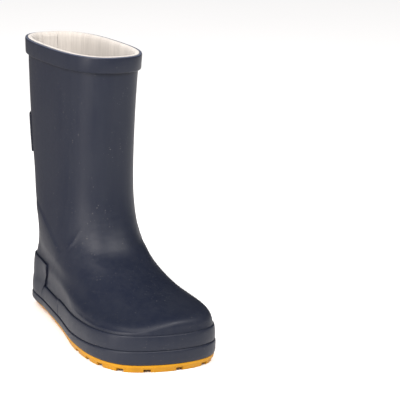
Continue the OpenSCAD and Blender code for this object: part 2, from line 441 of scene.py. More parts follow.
def loft(form: BootForm, loops: Sequence[Loop], around: bool, across: bool) -> bmesh.types.BMesh:
    """Draws a sheet through loops of equal length.

    Args:
        form: The boot's form, which places the points.
        loops: Lines of points in the pattern frame, one for each row.
        around: Whether each loop closes on itself.
        across: Whether the last loop is joined to the first.

    Returns:
        A bmesh in the row frame, with a UV map in metres along and across the loops.
    """
    cols = len(loops[0]) - (0 if around else 1)
    rows = len(loops) - (0 if across else 1)
    bm = bmesh.new()
    bmesh.ops.create_grid(bm, x_segments=cols, y_segments=rows, size=0.5)
    middle = loops[len(loops) // 2]
    girth = sum((q - p).length for p, q in zip(middle, middle[1:])) * MM
    heights = [0.0]
    for low, high in zip(loops, [*loops[1:], loops[0]]):
        heights.append(heights[-1] + (high[0] - low[0]).length * MM)
    places = {v.index: (round((v.co.x + 0.5) * cols), round((v.co.y + 0.5) * rows))
              for v in bm.verts}
    layer = bm.loops.layers.uv.new("Cut")
    for face in bm.faces:
        for corner in face.loops:
            i, j = places[corner.vert.index]
            corner[layer].uv = (girth * i / cols, heights[j])
    for v in bm.verts:
        i, j = places[v.index]
        v.co = form.row(loops[j % len(loops)][i % len(loops[0])])
    if around or across:
        bmesh.ops.remove_doubles(bm, verts=bm.verts, dist=2e-6)
    bm.normal_update()
    return bm


def round_off(bm: bmesh.types.BMesh, edges: list, width: float, segments: int) -> None:
    """Rounds edges over a width in millimetres."""
    bmesh.ops.bevel(bm, geom=edges, offset=width * MM, offset_type="OFFSET", affect="EDGES",
                    segments=segments, profile=0.5, material=-1, clamp_overlap=True)


def soften(bm: bmesh.types.BMesh, angle: float, width: float, segments: int) -> None:
    """Rounds every edge that turns by more than angle degrees."""
    sharp = [e for e in bm.edges if len(e.link_faces) == 2
             and math.degrees(e.calc_face_angle(0)) > angle]
    round_off(bm, sharp, width, segments)


def close_ends(bm: bmesh.types.BMesh, heights: Sequence[float]) -> None:
    """Puts a flat face over each open edge that lies level at one of the heights.

    Args:
        bm: The mesh, in the row frame.
        heights: Heights of the open edges, in metres.
    """
    for height in heights:
        ring = [e for e in bm.edges if e.is_boundary and abs(e.verts[0].co.z - height) < 1e-5]
        bmesh.ops.contextual_create(bm, geom=ring)
    bmesh.ops.recalc_face_normals(bm, faces=bm.faces)


def raised_sheet(form: BootForm, name: str, rows: Sequence[Loop], wall: float,
                 rounding: float) -> bpy.types.Object:
    """Makes a sheet of rubber that stands proud of the boot, with rounded edges.

    Args:
        form: The boot's form.
        name: Name of the piece.
        rows: Rows of points over its outside, in the pattern frame.
        wall: Thickness of the sheet, in millimetres.
        rounding: Width of the rounding of its edges, in millimetres.

    Returns:
        The finished piece.
    """
    bm = loft(form, rows, around=False, across=False)
    bmesh.ops.solidify(bm, geom=bm.faces[:], thickness=wall * MM)
    bmesh.ops.recalc_face_normals(bm, faces=bm.faces)
    soften(bm, 50, rounding, 3)
    return finish_mesh(name, bm)


def arc(loop: Loop, start: float, end: float, count: int) -> Loop:
    """Part of a closed loop.

    Args:
        loop: The closed loop.
        start: Where the part starts, as a share of the way round; may be negative.
        end: Where it ends.
        count: Points in the part.

    Returns:
        The points from start to end.
    """
    n = len(loop)
    part = []
    for i in range(count):
        at = (start + (end - start) * i / (count - 1)) * n
        low = math.floor(at)
        part.append(loop[low % n].lerp(loop[(low + 1) % n], at - low))
    return part


# ---------------------------------------------------------------- shader kit


class Wire:
    """A shader value that Python's own operators do maths on."""

    def __init__(self, bench: "Bench", source: bpy.types.NodeSocket) -> None:
        """Keeps the socket and the bench its nodes stand on."""
        self.bench = bench
        self.source = source

    def _maths(self, operation: str, left: "Wire | float", right: "Wire | float") -> "Wire":
        """Adds one Math node."""
        return self.bench.node("ShaderNodeMath", {"operation": operation}, {0: left, 1: right})[0]

    def __add__(self, other: "Wire | float") -> "Wire":
        """self + other."""
        return self._maths("ADD", self, other)

    def __radd__(self, other: float) -> "Wire":
        """other + self."""
        return self._maths("ADD", other, self)

    def __sub__(self, other: "Wire | float") -> "Wire":
        """self - other."""
        return self._maths("SUBTRACT", self, other)

    def __rsub__(self, other: float) -> "Wire":
        """other - self."""
        return self._maths("SUBTRACT", other, self)

    def __mul__(self, other: "Wire | float") -> "Wire":
        """self * other."""
        return self._maths("MULTIPLY", self, other)

    def __rmul__(self, other: float) -> "Wire":
        """other * self."""
        return self._maths("MULTIPLY", other, self)

    def least(self, other: "Wire | float") -> "Wire":
        """The smaller of self and other."""
        return self._maths("MINIMUM", self, other)

    def most(self, other: "Wire | float") -> "Wire":
        """The larger of self and other."""
        return self._maths("MAXIMUM", self, other)

    def step(self, low: float, high: float) -> "Wire":
        """A smooth step of self from 0 at low to 1 at high."""
        return self.bench.node("ShaderNodeMapRange", {"interpolation_type": "SMOOTHSTEP"},
                               {"Value": self, "From Min": low, "From Max": high})[0]


class Bench:
    """The node tree of one material, or of the sky."""

    def __init__(self, made: bpy.types.Material | bpy.types.World) -> None:
        """Turns nodes on for a new material or sky."""
        made.use_nodes = True
        self.made = made
        self.tree = made.node_tree

    @classmethod
    def material(cls, name: str) -> "Bench":
        """Starts a material, which comes with a Principled shader."""
        return cls(bpy.data.materials.new(name))

    def put(self, socket: bpy.types.NodeSocket, value: object) -> None:
        """Links a Wire to a socket, or sets the socket to a number, colour or vector.

        Args:
            socket: The socket.
            value: What it gets.
        """
        if isinstance(value, Wire):
            self.tree.links.new(value.source, socket)
        elif socket.type == "RGBA":
            socket.default_value = (*value, 1.0)
        else:
            socket.default_value = value

    def node(self, kind: str, settings: dict, values: dict) -> list[Wire]:
        """Adds any node.

        Args:
            kind: The node's type.
            settings: Attributes to set first, such as a Math node's operation.
            values: Sockets, by name or number, with a number, colour, vector or Wire.

        Returns:
            The node's outputs that are in use, in order.
        """
        node = self.tree.nodes.new(kind)
        for key, value in settings.items():
            setattr(node, key, value)
        live = [s for s in node.inputs if s.enabled]
        for key, value in values.items():
            self.put(live[key] if isinstance(key, int) else next(
                s for s in live if s.name == key), value)
        return [Wire(self, s) for s in node.outputs if s.enabled]

    def solid(self) -> Wire:
        """Object coordinates, in metres."""
        return self.node("ShaderNodeTexCoord", {}, {})[3]

    def axes(self, place: Wire) -> list[Wire]:
        """The x, y and z of coordinates."""
        return self.node("ShaderNodeSeparateXYZ", {}, {0: place})

    def sine(self, angle: Wire) -> Wire:
        """The sine of an angle in radians."""
        return self.node("ShaderNodeMath", {"operation": "SINE"}, {0: angle})[0]

    def cloth(self) -> Wire:
        """The piece's UV map, in metres."""
        return self.node("ShaderNodeUVMap", {"uv_map": "Cut"}, {})[0]

    def stretched(self, place: Wire, scale: Sequence[float]) -> Wire:
        """Coordinates scaled along each axis."""
        return self.node("ShaderNodeMapping", {}, {"Vector": place, "Scale": tuple(scale)})[0]

    def noise(self, place: Wire, per_metre: float, detail: float = 2.0,
              rough: float = 0.5) -> Wire:
        """Soft noise with a number of lumps to the metre."""
        return self.node("ShaderNodeTexNoise", {}, {
            "Vector": place, "Scale": per_metre, "Detail": detail, "Roughness": rough})[0]

    def mix(self, amount: Wire | float, low: object, high: object) -> Wire:
        """Colour between low and high."""
        return self.node("ShaderNodeMix", {"data_type": "RGBA"},
                         {"Factor": amount, "A": low, "B": high})[0]

    def bump(self, height: Wire, depth: float, strength: float = 1.0) -> Wire:
        """A normal from a height between 0 and 1 that stands for depth millimetres."""
        return self.node("ShaderNodeBump", {}, {
            "Height": height, "Distance": depth * MM, "Strength": strength})[0]

    def dress(self, **sockets: object) -> bpy.types.Material:
        """Sets the shader's sockets.

        Args:
            sockets: Values by the sockets' names, with underscores for spaces.

        Returns:
            The finished material.
        """
        shader = self.tree.nodes["Principled BSDF"]
        for key, value in sockets.items():
            self.put(shader.inputs[key.replace("_", " ")], value)
        return self.made


# ---------------------------------------------------------------- finishes


@dataclass(frozen=True)
class NavyRubber:
    """Matte vulcanised rubber with a soft sheen, faint scuffs and dust.

    Attributes:
        name: Name of the material.
        colour: Plain colour.
        worn: Colour of the paler clouds and streaks.
        specks: Colour of the dust.
        cut: Colour of the painted highlight along the rim's top, where the rubber is cut off.
        roughness: Average roughness.
        dust: How strongly the dust shows.
        highlight_top: Height of the rim's top, just under which the highlight is painted, in
            metres.
    """

    name: str
    colour: tuple = (0.0058, 0.0083, 0.0185)
    worn: tuple = (0.0092, 0.0118, 0.0215)
    specks: tuple = (0.12, 0.115, 0.11)
    cut: tuple = (0.075, 0.085, 0.12)
    roughness: float = 0.49
    dust: float = 0.5
    highlight_top: float = 1.0

    def make(self) -> bpy.types.Material:
        """Returns the material."""
        kit = Bench.material(self.name)
        place = kit.solid()
        cloud = kit.noise(place, 26, 3, 0.55)
        fine = kit.noise(place, 420, 2, 0.6)
        scuff = kit.noise(kit.stretched(place, (60, 60, 420)), 1.0, 3, 0.7).step(0.6, 0.78)
        patchy = kit.noise(place, 60, 1).step(0.45, 0.6)
        speck = kit.noise(place, 1100, 0, 0.5).step(0.785, 0.83) * patchy
        streak = kit.noise(kit.stretched(place, (190, 190, 14)), 1.0, 3, 0.6)
        shade = kit.mix((cloud * 0.6 + streak * 0.4).step(0.35, 0.65), self.colour, self.worn)
        dusty = kit.mix((speck * self.dust + scuff * 0.04).least(1.0), shade, self.specks)
        # Painted highlight: the top 0.6 mm under the rim's edge is painted pale bluish, standing
        # in for light falling on the rim.
        painted_rim_highlight = kit.axes(place)[2].step(self.highlight_top - 0.6 * MM, self.highlight_top - 0.1 * MM)
        rough = self.roughness + (streak - 0.5) * 0.14 + (cloud - 0.5) * 0.16
        rough = rough + (fine - 0.5) * 0.1 + scuff * 0.06
        grain = fine * 0.6 + kit.noise(place, 2400, 1) * 0.4
        return kit.dress(Base_Color=kit.mix(painted_rim_highlight, dusty, self.cut), Roughness=rough,
                         Normal=kit.bump(grain, 0.02, 0.8), Specular_IOR_Level=0.28)


@dataclass(frozen=True)
class SoleRubber:
    """Moulded yellow-orange rubber, a little dirty at the tread."""

    name: str
    colour: tuple = (0.4, 0.185, 0.004)
    shadow: tuple = (0.33, 0.145, 0.003)
    dirt: tuple = (0.2, 0.12, 0.06)

    def make(self) -> bpy.types.Material:
        """Returns the material."""
        kit = Bench.material(self.name)
        place = kit.solid()
        cloud = kit.noise(place, 70, 3, 0.6)
        fine = kit.noise(place, 700, 2, 0.6)
        tread = 1 - kit.axes(place)[2].step(0.0, 1.2 * MM)
        dirt = tread * kit.noise(place, 160, 3, 0.7).step(0.42, 0.7)
        colour = kit.mix(cloud.step(0.35, 0.8), self.colour, self.shadow)
        return kit.dress(Base_Color=kit.mix(dirt * 0.35, colour, self.dirt),
                         Roughness=0.5 + (fine - 0.5) * 0.16,
                         Normal=kit.bump(fine, 0.03, 0.7), Specular_IOR_Level=0.2)


@dataclass(frozen=True)
class WovenLining:
    """Undyed cotton cloth with threads that run up the leg.

    Attributes:
        name: Name of the material.
        colour: Colour of the cloth.
        shade: Colour between its threads.
        warp: Threads to the metre round the leg.
        weft: Threads to the metre up the leg.
    """

    name: str
    colour: tuple = (0.47, 0.44, 0.405)
    shade: tuple = (0.34, 0.315, 0.29)
    warp: float = 900.0
    weft: float = 1100.0

    def make(self) -> bpy.types.Material:
        """Returns the material."""
        kit = Bench.material(self.name)
        cut = kit.cloth()
        u, v = kit.axes(cut)[:2]
        slub = kit.noise(kit.stretched(cut, (1100, 60, 1)), 1.0, 3, 0.6)
        band = kit.noise(kit.stretched(cut, (320, 14, 1)), 1.0, 2, 0.5)
        wobble = (kit.noise(cut, 90, 2) - 0.5) * 1.2
        warp = kit.sine(u * (self.warp * 2 * math.pi) + wobble)
        weft = kit.sine(v * (self.weft * 2 * math.pi) + wobble)
        weave = (warp.most(weft * 0.8) + 1) * 0.5
        tone = (slub.step(0.3, 0.7) * 0.6 + band.step(0.35, 0.7) * 0.4).least(1.0)
        colour = kit.mix(tone * 0.8 + weave * 0.2, self.shade, self.colour)
        return kit.dress(Base_Color=colour, Roughness=0.86 + (slub - 0.5) * 0.1,
                         Normal=kit.bump(weave * 0.7 + slub * 0.3, 0.16, 0.8),
                         Specular_IOR_Level=0.2, Sheen_Weight=0.25, Sheen_Roughness=0.5)


@dataclass(frozen=True)
class InnerStuff:
    """Board, sponge or stiffened cloth inside the boot."""

    name: str
    colour: tuple
    spots: tuple
    lumps: float = 300.0

    def make(self) -> bpy.types.Material:
        """Returns the material."""
        kit = Bench.material(self.name)
        place = kit.solid()
        cloud = kit.noise(place, self.lumps, 3, 0.65)
        return kit.dress(Base_Color=kit.mix(cloud.step(0.35, 0.7), self.colour, self.spots),
                         Roughness=0.8 + (cloud - 0.5) * 0.2,
                         Normal=kit.bump(cloud, 0.12, 0.7), Specular_IOR_Level=0.25)


@dataclass(frozen=True)
class StudioPaper:
    """White studio floor, which reflections show darker where other things would stand.

    Attributes:
        name: Name of the material.
        pale: Colour of the paper.
        paler: Colour of its lighter clouds.
        mirrored: Colour that reflections show in the darker part.
        view: Direction towards the viewer, as shares of x and of -y.
    """

    name: str = "studio_paper"
    pale: tuple = (0.84, 0.835, 0.835)
    paler: tuple = (0.86, 0.855, 0.855)
    mirrored: tuple = (0.34, 0.33, 0.33)
    view: tuple = (0.865, 0.502)

    def make(self) -> bpy.types.Material:
        """Returns the material."""
        kit = Bench.material(self.name)
        place = kit.solid()
        soft = kit.noise(place, 3, 2)
        x, y = kit.axes(place)[:2]
        along, aside = self.view
        nearer = x * along - y * aside
        right = x * aside + y * along
        left_side = (nearer * 0.0985 - right - 0.076).step(-0.035, 0.09)
        dark = nearer.step(0.3, 0.5).most(left_side)
        glossy = kit.node("ShaderNodeLightPath", {}, {})[Ray.GLOSSY.value]
        paper = kit.mix(soft, self.pale, self.paler)
        return kit.dress(Base_Color=kit.mix(dark * glossy, paper, self.mirrored),
                         Roughness=0.8 + soft * 0.1, Specular_IOR_Level=0.0)


class Finishes:
    """Every finish, made once."""

    def __init__(self) -> None:
        """Makes the materials."""
        self.upper = NavyRubber("upper_rubber").make()
        self.band = NavyRubber("navy_rubber", roughness=0.48, dust=0.6).make()
        # The collar alone gets the painted highlight along the rim's top.
        self.collar = NavyRubber("collar_rubber", roughness=0.44, dust=0.3,
                                 highlight_top=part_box("collar_band")[1].z).make()
        self.trim = NavyRubber("trim_rubber", colour=(0.0062, 0.0078, 0.0155),
                               roughness=0.5).make()
        self.sole = SoleRubber("outsole_rubber").make()
        self.lining = WovenLining("lining_cloth").make()
        self.tape = WovenLining("tape_cloth", warp=600.0, weft=1500.0).make()
        self.footbed = WovenLining("footbed_cloth", colour=(0.66, 0.61, 0.54),
                                   warp=700.0, weft=700.0).make()
        self.inner = {stuff.name: stuff.make() for stuff in (
            InnerStuff("stiffener_board", (0.45, 0.36, 0.24), (0.34, 0.27, 0.18)),
            InnerStuff("inner_rubber", (0.03, 0.03, 0.035), (0.05, 0.05, 0.055)),
            InnerStuff("insole_board", (0.4, 0.28, 0.16), (0.3, 0.2, 0.11)),
            InnerStuff("filler_foam", (0.06, 0.06, 0.065), (0.04, 0.04, 0.045), 900.0),
            InnerStuff("footbed_foam", (0.2, 0.21, 0.24), (0.15, 0.16, 0.18), 900.0))}


def dress(obj: bpy.types.Object, material: bpy.types.Material) -> None:
    """Gives a new piece its material."""
    obj.data.materials.clear()
    obj.data.materials.append(material)


# ---------------------------------------------------------------- sub-assemblies


@dataclass
class Upper:
    """The rubber upper, one skin from the sole to the rim."""

    form: BootForm
    around: int = FINE
    thickness: float = 2.0
    rim_thickness: float = 2.3
    rim_edge: float = 0.7
    foot_rings: tuple = (0, 1, 1.6, 2, 2.15, 2.3, 2.45, 2.6, 2.75, 2.9)
    rim_rings: tuple = (11.5, 11.7, 11.85, 11.93)
    waves: Ripple = Ripple(0.2, (38, 38, 60), (3, 1, 7))
    dents: Ripple = Ripple(0.045, (13, 13, 9))
    rucks: Ripple = Ripple(0.14, (4.5, 16, 2.6))
    side_fold: Fold = Fold(((103, 92), (101, 86), (97, 78), (95, 71), (90, 63.6), (82.4, 57),
                            (73.6, 50.5), (65, 42.5), (53, 34), (43, 25)), 0.45, 1.6, 1.6, 24.0)
    heel_fold: Fold = Fold(((26, 90), (36, 87), (48.6, 82), (62.4, 74), (71.6, 68), (81, 62),
                            (88, 57)), 0.85, 1.7, 9.0, 10.0)

    def relief(self, p: Vector) -> float:
        """How far the rubber stands out at a point of the upper, in millimetres.

        Args:
            p: The point, in the pattern frame.

        Returns:
            The distance.
        """
        lift = self.waves.lift(p) + self.dents.lift(p)
        if 0 < p.x < 125 and p.z < 115:
            lift += max(self.side_fold.lift(p.x, p.z), self.heel_fold.lift(p.x, p.z))
        if 95 < p.x < 150 and 40 < p.z < 110:
            over_instep = ease((p.x - 95) / 18) * ease((p.z - 50) / 14) * ease((108 - p.z) / 18)
            lift += over_instep * self.rucks.lift(p)
        above_bands = ease((p.z - self.form.foxing_z + 3) / 4)
        below_collar = 1 - ease((p.z - self.form.collar_z + 6) / 5)
        return lift * above_bands * below_collar

    def outer_loops(self) -> list[Loop]:
        """Rows of points over the outside."""
        vamp = [3 + i / 20 for i in range(100)]
        leg = [8 + i / 8 for i in range(28)]
        rows = []
        for t in (*self.foot_rings, *vamp, *leg, *self.rim_rings):
            loop = self.form.ring(t, 0.0, self.around)
            rows.append([p + self.relief(p) * self.outward(loop, i)
                         for i, p in enumerate(loop)])
        return rows

    @staticmethod
    def outward(loop: Loop, i: int) -> Vector:
        """Level direction out of a ring at one of its points."""
        run = loop[(i + 1) % len(loop)] - loop[i - 1]
        return Vector((run.y, -run.x, 0.0)).normalized()

    def build(self, finishes: Finishes) -> list[bpy.types.Object]:
        """Builds and dresses the upper.

        Args:
            finishes: Every finish.

        Returns:
            The finished pieces.
        """
        rows = self.outer_loops()
        rows.append(self.form.ring(self.rim_rings[-1], self.rim_edge, self.around))
        for t in (self.rim_rings[0], *(11 - i / 2 for i in range(16)), 3, 2, 1, 0):
            depth = self.rim_thickness if t > 7.5 else self.thickness
            rows.append(self.form.ring(t, depth, self.around))
        skin = finish_mesh("upper_skin", loft(self.form, rows, around=True, across=True))
        dress(skin, finishes.upper)
        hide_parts("foot_shell", "ankle_shell", "leg_shell")
        bend_over_ankle(self.form, skin)
        return [skin]


def bend_over_ankle(form: BootForm, piece: bpy.types.Object) -> None:
    """Bakes a piece's placement into its mesh; the line the ankle bends along is worked out, but
    no bend is set up.

    Args:
        form: The boot's form.
        piece: The piece.
    """
    x, z = form.bend_start
    start = form.row(Vector((x, 0, z)))
    turn = math.radians(form.bend_tilt)
    rise = Vector((math.sin(turn), 0, math.cos(turn))) * form.bend_rise * MM
    start + rise
    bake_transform(piece)


@dataclass
class Lining:
    """The cloth lining, its edge at the rim and the tape over its back seam."""

    form: BootForm
    around: int = PLAIN
    outer: float = 2.3
    inner: float = 4.2
    foot_gap: float = 0.5
    tape_low: float = 8.0
    tape_top: float = 11.84
    tape_half: float = 0.022
    tape_thickness: float = 0.5

    def ring(self, t: float, depth: float, lift: float = 0.0) -> Loop:
        """A ring of the form, lifted."""
        return [p + Vector((0, 0, lift)) for p in self.form.ring(t, depth, self.around)]

    def cloth_rows(self) -> list[Loop]:
        """Rows of points down the outside of the lining, up its inside and over the rim."""
        ring, last = self.ring, self.form.last
        rows = [ring(last - 0.05, 0.2), ring(last - 0.06, 0.9)]
        for t in (11.6, *(11 - i / 2 for i in range(16)), 3, 2, 1):
            rows.append(ring(t, self.outer + (self.foot_gap if t < 8 else 0.0)))
        for t in (1, 1.5, 2, *(2.25 + i / 4 for i in range(37)), 11.7):
            rows.append(ring(t, self.inner))
        rows.append(ring(last - 0.1, self.inner - 0.6))
        rows.append(ring(last, self.inner - 1.6, 0.2))
        rows.append(ring(last, 0.6, 0.3))
        rows.append(ring(last, 0.05))
        return rows

    def tape(self) -> bpy.types.Object:
        """The tape over the back seam."""
        steps = 24
        rise = (self.tape_top - self.tape_low) / steps
        rows = [arc(self.form.ring(self.tape_low + i * rise, self.inner, self.around),
                    -self.tape_half, self.tape_half, 9) for i in range(steps + 1)]
        bm = loft(self.form, rows, around=False, across=False)
        bmesh.ops.reverse_faces(bm, faces=bm.faces)
        bmesh.ops.solidify(bm, geom=bm.faces[:], thickness=-self.tape_thickness * MM)
        bmesh.ops.recalc_face_normals(bm, faces=bm.faces)
        return finish_mesh("lining_back_tape", bm)

    def build(self, finishes: Finishes) -> list[bpy.types.Object]:
        """Builds and dresses the lining and its tape.

        Args:
            finishes: Every finish.

        Returns:
            The finished pieces.
        """
        bm = loft(self.form, self.cloth_rows(), around=True, across=True)
        cloth = finish_mesh("lining", bm)
        dress(cloth, finishes.lining)
        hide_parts("foot_lining", "ankle_lining", "leg_lining")
        bend_over_ankle(self.form, cloth)
        tape = self.tape()
        dress(tape, finishes.tape)
        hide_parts("lining_tape")
        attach(tape, Body.SHAFT.value)
        return [cloth, tape]


@dataclass
class Collar:
    """The rubber band round the rim."""

    form: BootForm
    around: int = PLAIN
    thickness: float = 2.2

    def build(self, finishes: Finishes) -> list[bpy.types.Object]:
        """Builds and dresses the collar.

        Args:
            finishes: Every finish.

        Returns:
            The finished pieces.
        """
        form = self.form
        low, high = form.collar_z, form.rim_z
        full = self.thickness
        profile = [(low, 0.05), (low, full - 0.55), (low + 0.08, full - 0.35),
                   (low + 0.35, full - 0.12), (low + 1.0, full), (high - 1.4, full - 0.05),
                   (high - 0.5, full - 0.25), (high - 0.12, full - 0.5), (high, full - 0.8),
                   (high, 0.05)]
        rows = []
        for z, out in profile:
            t = min(form.last - 1 + (z - low) / (high - low), form.last)
            flat = inset([(p.x, p.y) for p in form.ring(t, 0.0, self.around)], -out)
            rows.append([Vector((x, y, z)) for x, y in flat])
        band = finish_mesh("collar", loft(form, rows, around=True, across=True))
        dress(band, finishes.collar)
        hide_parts("collar_band")
        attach(band, Body.SHAFT.value)
        return [band]


@dataclass
class SoleBands:
    """The two layers of rubber band round the sole, the upper one lapped at the waist."""

    form: BootForm
    around: int = FINE
    lap_outer: float = 8.6 / EDGE
    lap_inner: float = 35 / EDGE
    overlap: float = 0.006
    step: float = 0.15
    rounding: float = 0.35

    def strip(self, profile: Sequence[tuple[float, float]], start: float,
              end: float) -> list[Loop]:
        """Rows of points for a band.

        Args:
            profile: Height and depth of each row.
            start: Where the band starts round the sole, as a share of the way round.
            end: Where it ends.

        Returns:
            The rows.
        """
        whole = abs(end - start - 1) < 1e-6
        count = round(self.around * (end - start)) + 1
        rows = []
        for z, depth in profile:
            loop = self.form.band(z, depth, self.around)
            rows.append(loop if whole else arc(loop, start, end, count))
        return rows

    def build(self, finishes: Finishes) -> list[bpy.types.Object]:
        """Builds and dresses the bands.

        Args:
            finishes: Every finish.

        Returns:
            The finished pieces.
        """
        pieces = [self.lower(), self.toe_half(), self.heel_half()]
        for piece in pieces:
            dress(piece, finishes.band)
            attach(piece, Body.FOOT.value)
        return pieces

    def lower(self) -> bpy.types.Object:
        """The lower band, which goes all the way round."""
        low, top = self.form.outsole_z, self.form.groove_z
        profile = [(low, 2.3), (low, 1.2), (low + 0.4, 0.75), (low + 1.4, 0.3),
                   (low + 3.5, 0.03), (low + 6, 0.0), (top - 2.4, -0.05), (top - 1.4, 0.03),
                   (top - 0.7, 0.22), (top - 0.3, 0.48), (top - 0.1, 0.75), (top - 0.02, 1.0),
                   (top, 1.3), (top, 2.3)]
        bm = loft(self.form, self.strip(profile, 0, 1), around=True, across=True)
        band = finish_mesh("lower_band", bm)
        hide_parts("lower_foxing")
        return band

    def toe_half(self) -> bpy.types.Object:
        """The part of the upper band round the toe, with its ends under the other part."""
        bm = self.upper_half(self.form.foxing_z, self.step, self.lap_outer - self.overlap,
                             self.lap_inner + self.overlap)
        band = finish_mesh("upper_band_toe", bm)
        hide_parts("upper_foxing_front")
        return band

    def heel_half(self) -> bpy.types.Object:
        """The part of the upper band round the heel, a little lower at its top."""
        bm = self.upper_half(self.form.foxing_z - 1.0, 0.0, self.lap_inner - 1.0, self.lap_outer)
        band = finish_mesh("upper_band_heel", bm)
        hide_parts("upper_foxing_rear")
        return band

    def upper_half(self, top: float, back: float, start: float, end: float) -> bmesh.types.BMesh:
        """One part of the upper band.

        Args:
            top: Height of its top edge at the toe.
            back: How much further in it lies than the other part.
            start: Where it starts round the sole, as a share of the way round.
            end: Where it ends.

        Returns:
            The closed mesh, with rounded ends.
        """
        low = self.form.groove_z
        profile = [(low, 2.35), (low, 1.1 + back), (low + 0.04, 0.85 + back),
                   (low + 0.2, 0.62 + back), (low + 0.7, 0.48 + back), (low + 3.5, 0.4 + back),
                   (low + 6, 0.45 + back), (top - 2.4, 0.75 + back), (top - 1.1, 1.0 + back),
                   (top - 0.4, 1.25 + back), (top - 0.1, 1.6 + back * 0.7),
                   (top, 1.95 + back * 0.4), (top, 2.6)]
        bm = loft(self.form, self.strip(profile, start, end), around=False, across=True)
        bmesh.ops.holes_fill(bm, edges=[e for e in bm.edges if e.is_boundary], sides=0)
        ends = [e for e in bm.edges if len(e.link_faces) == 2
                and max(len(f.verts) for f in e.link_faces) > 4]
        round_off(bm, ends, self.rounding, 2)
        bmesh.ops.recalc_face_normals(bm, faces=bm.faces)
        return bm


@dataclass
class HeelPanel:
    """The raised panel over the back of the heel."""

    form: BootForm
    around: int = FINE
    across: int = 120
    reach_low: float = 5.7 / EDGE
    reach_mid: float = 5.8 / EDGE
    reach_top: float = 6.95 / EDGE
    reach_taper: float = 0.012
    low_ring: float = 1.85
    top_ring: float = 3.5
    end_lift: float = 0.2
    stand: float = 1.4
    wall: float = 1.7
    rounding: float = 0.35

    def build(self, finishes: Finishes) -> list[bpy.types.Object]:
        """Builds the panel and gives it the gloss of the bands.

        Args:
            finishes: Every finish.

        Returns:
            The finished pieces.
        """
        panel = raised_sheet(self.form, "heel_panel_cover",
                             self.rows_on_band() + self.rows_on_upper(), self.wall,
                             self.rounding)
        dress(panel, finishes.band)
        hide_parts("heel_panel")
        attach(panel, Body.FOOT.value)
        return [panel]

    def rows_on_band(self) -> list[Loop]:
        """Rows of points where the panel lies on the upper band."""
        form = self.form
        rows = []
        for up, depth in ((1.2, 0.42), (3, 0.22), (6, 0.24), (8, 0.4), (9.7, 0.55),
                          (form.foxing_z - form.groove_z, 0.7)):
            reach = self.reach_low - self.reach_taper * (1 - up / 11)
            rows.append(arc(form.band(form.groove_z + up, depth, self.around), -reach, reach,
                            self.across + 1))
        return rows

    def rows_on_upper(self) -> list[Loop]:
        """Rows of points on the upper, which rise towards the panel's two ends."""
        steps = 12
        rows = []
        for i in range(steps + 1):
            t = self.low_ring + (self.top_ring - self.low_ring) * i / steps
            reach = self.reach_mid + (self.reach_top - self.reach_mid) * clamp01((t - 2) / 1.5)
            row, higher = (arc(self.form.ring(at, -self.stand, self.around), -reach, reach,
                               self.across + 1) for at in (t, t + self.end_lift))
            for j, point in enumerate(row):
                point += (higher[j] - point) * abs(2 * j / self.across - 1) * i / steps
            rows.append(row)
        return rows


@dataclass
class BackPatch:
    """The thin raised patch round the back of the shaft."""

    form: BootForm
    around: int = FINE
    reach: float = 6 / EDGE
    low_ring: float = 8.5
    stand: float = 1.3
    wall: float = 1.6
    rounding: float = 0.4

    def build(self, finishes: Finishes) -> list[bpy.types.Object]:
        """Builds and dresses the patch.

        Args:
            finishes: Every finish.

        Returns:
            The finished pieces.
        """
        rows = [arc(self.form.ring(self.low_ring + i / 16, -self.stand, self.around),
                    -self.reach, self.reach, 81) for i in range(17)]
        patch = raised_sheet(self.form, "back_label_patch", rows, self.wall, self.rounding)
        dress(patch, finishes.trim)
        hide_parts("back_patch")
        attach(patch, Body.SHAFT.value)
        return [patch]


